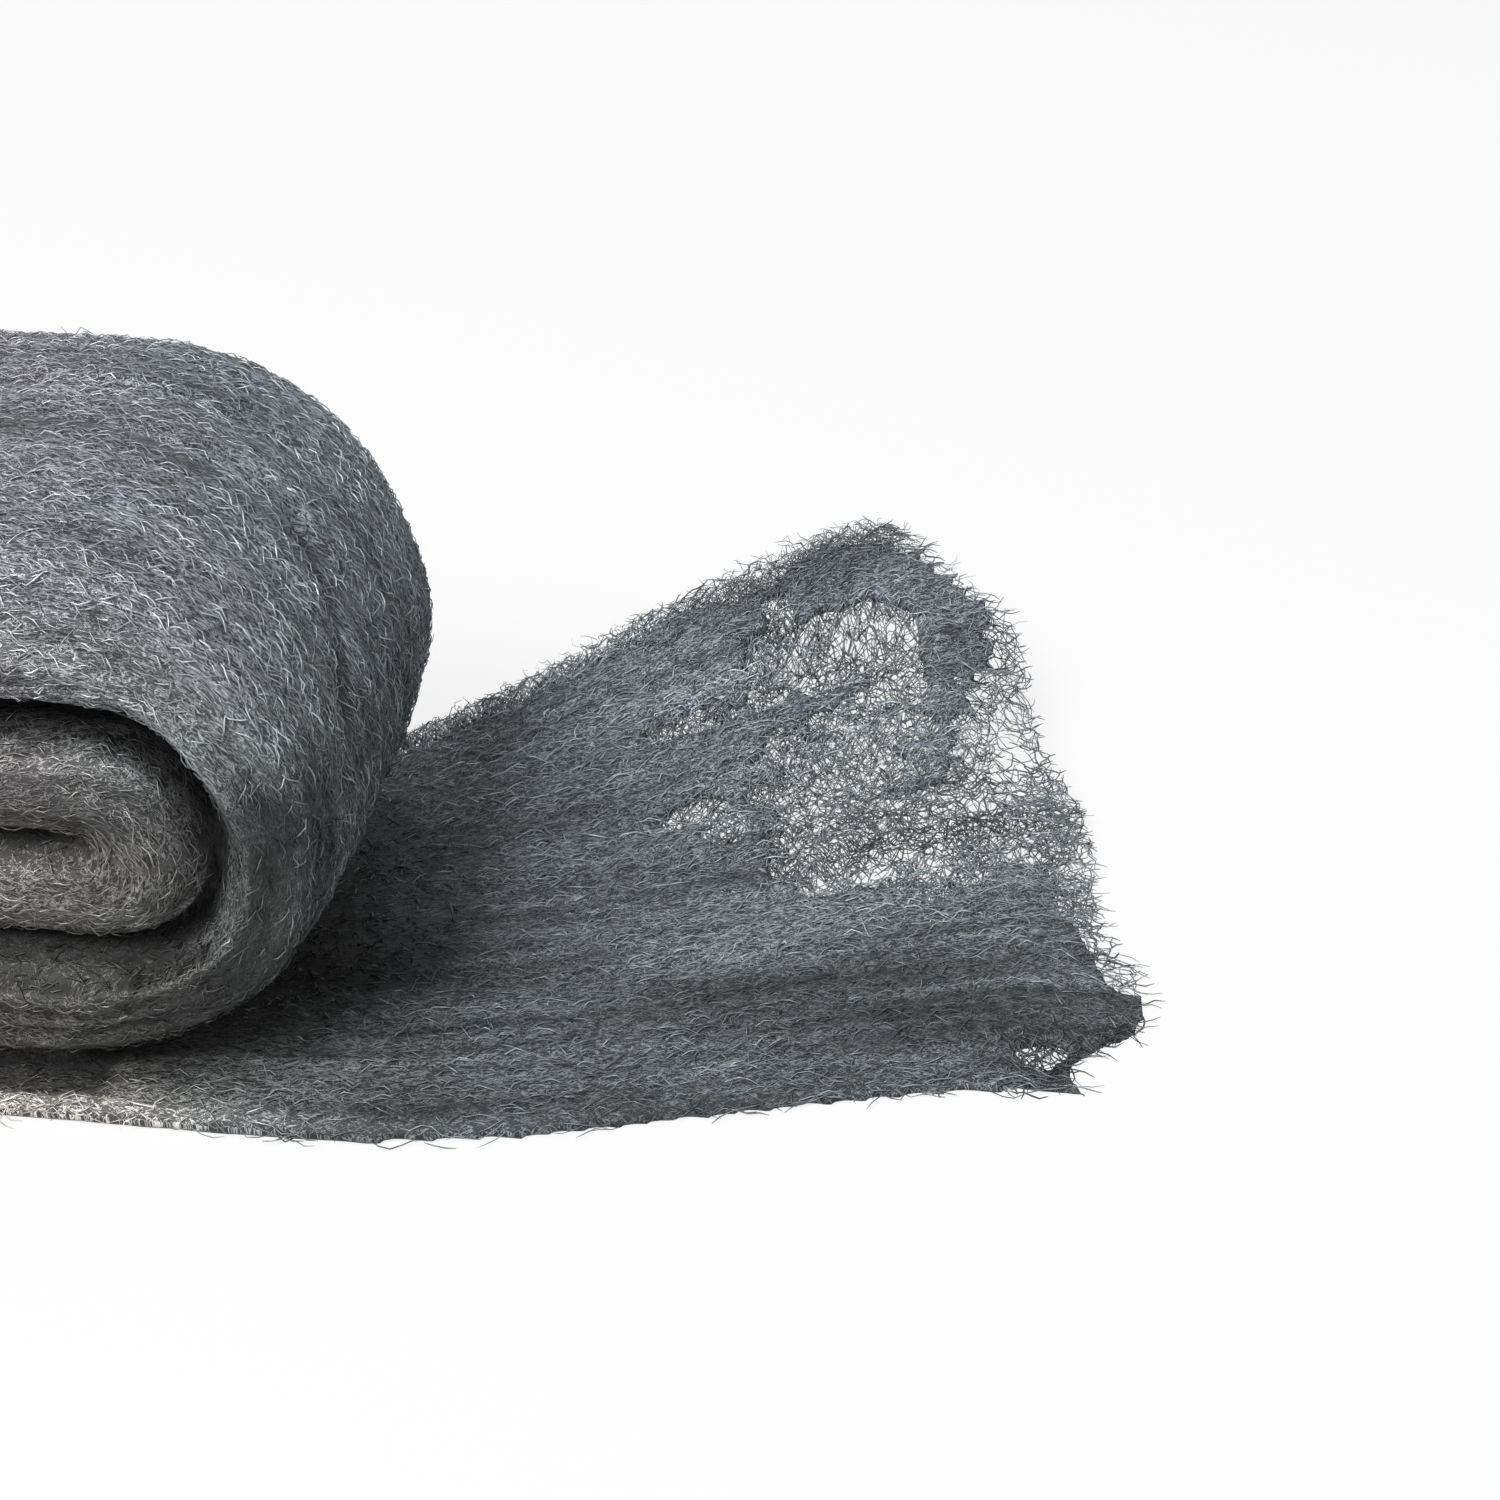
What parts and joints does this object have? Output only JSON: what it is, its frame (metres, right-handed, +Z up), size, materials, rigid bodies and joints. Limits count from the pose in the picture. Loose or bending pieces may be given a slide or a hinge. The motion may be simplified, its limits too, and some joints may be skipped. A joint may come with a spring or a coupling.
{
  "type": "steel wool bundle",
  "caption": "Ribbon of fine steel wool wound into an oval roll, with a flat fanned tail that ends in a torn edge.",
  "frame": {"origin": "on the table, under the middle of the roll", "axes": "+Z up; +X along the flat tail, away from the roll; +Y along the roll's axis, towards the side where the tail fans out and lifts"},
  "size_m": [0.3188, 0.2021, 0.1263],
  "materials": {
    "steel_wool": "matted fine steel fibres, dark grey with light specks"
  },
  "bodies": {
    "root": {"steel_wool_ribbon": "steel_wool"}
  },
  "joints": []
}
